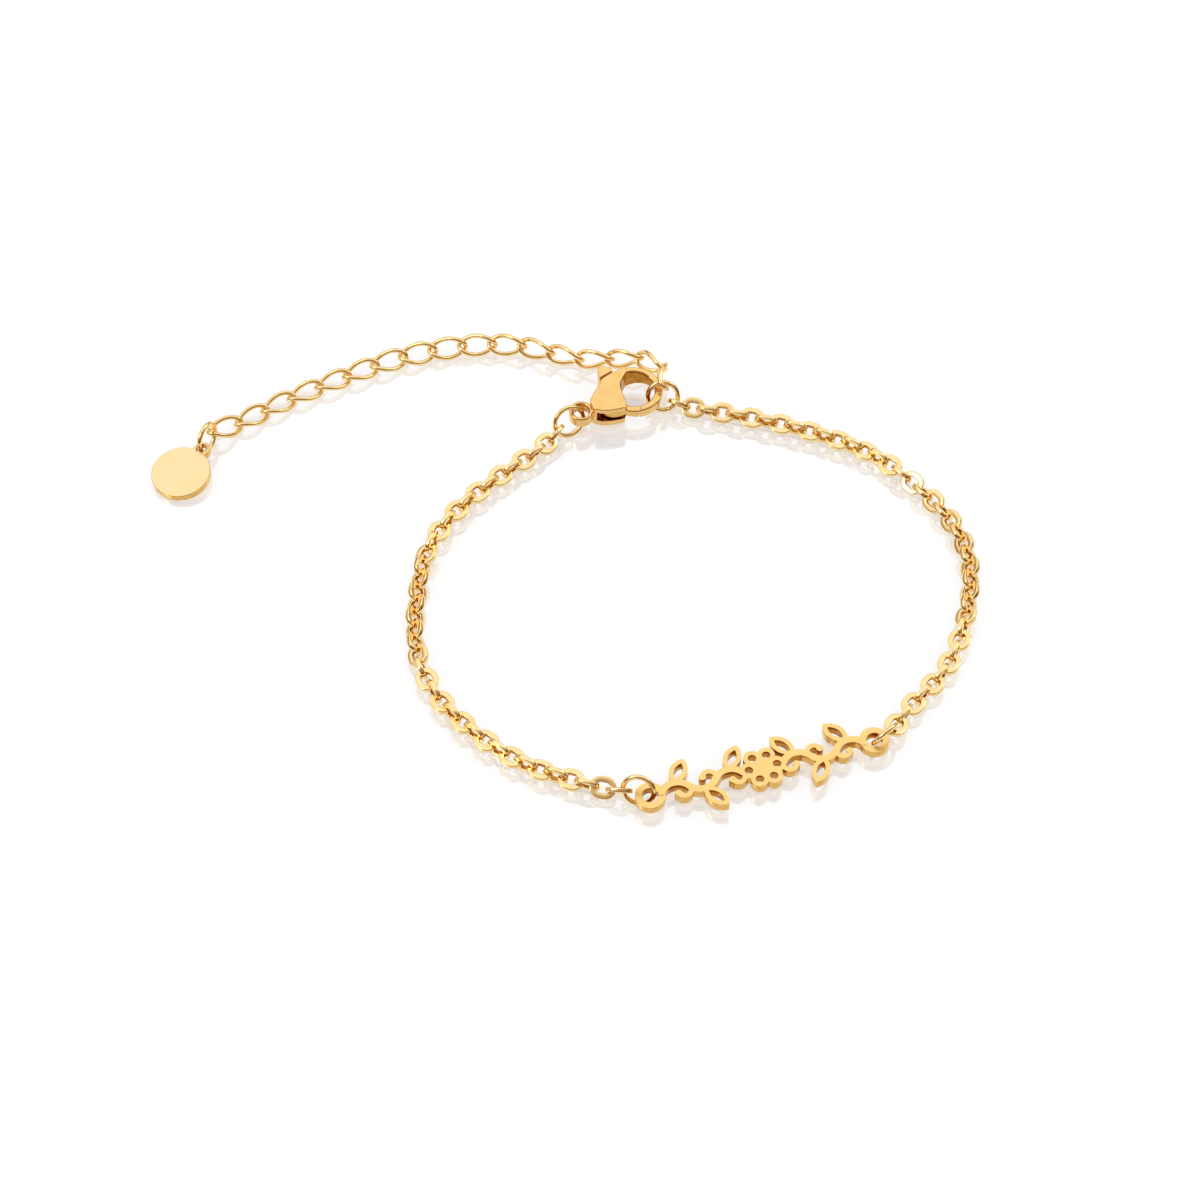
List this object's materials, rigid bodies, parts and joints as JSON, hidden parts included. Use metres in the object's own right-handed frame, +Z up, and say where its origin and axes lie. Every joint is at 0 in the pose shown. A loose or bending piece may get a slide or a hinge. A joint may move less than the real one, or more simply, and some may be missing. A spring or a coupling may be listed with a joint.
{
  "type": "nameplate bracelet",
  "caption": "Bracelet of cable chain with a cut sheet plate in front, a lobster clasp with a sprung lever, and a curb chain extender with a round disc.",
  "frame": {"origin": "middle of the nameplate's back face", "axes": "+X along the plate, from its left eye to its right eye; +Y across the loop towards the clasp; +Z up, away from the surface that the bracelet lies on"},
  "size_m": [0.0768, 0.0642, 0.0041],
  "materials": {
    "plate": "satin",
    "chain": "polished",
    "fittings": "polished"
  },
  "bodies": {
    "bracelet": {"nameplate": "plate", "plate_ring_left": "fittings", "plate_ring_right": "fittings", "chain_left": "chain", "chain_right": "chain", "clasp_ring": "fittings", "clasp_body": "fittings", "clasp_pin": "fittings", "end_ring": "fittings", "extender_chain": "chain", "disc_ring": "fittings", "disc_charm": "plate"},
    "lever": {"clasp_lever": "fittings"}
  },
  "joints": [
    {"name": "clasp_lever_hinge", "type": "hinge", "parent": "bracelet", "child": "lever", "pos_m": [-0.00127, 0.04645, 0.00125], "axis": [0, -0.0523, 0.9986], "range_deg": [0, 20], "stiffness_Nm_per_rad": 0.004, "springref_deg": -14.9}
  ]
}
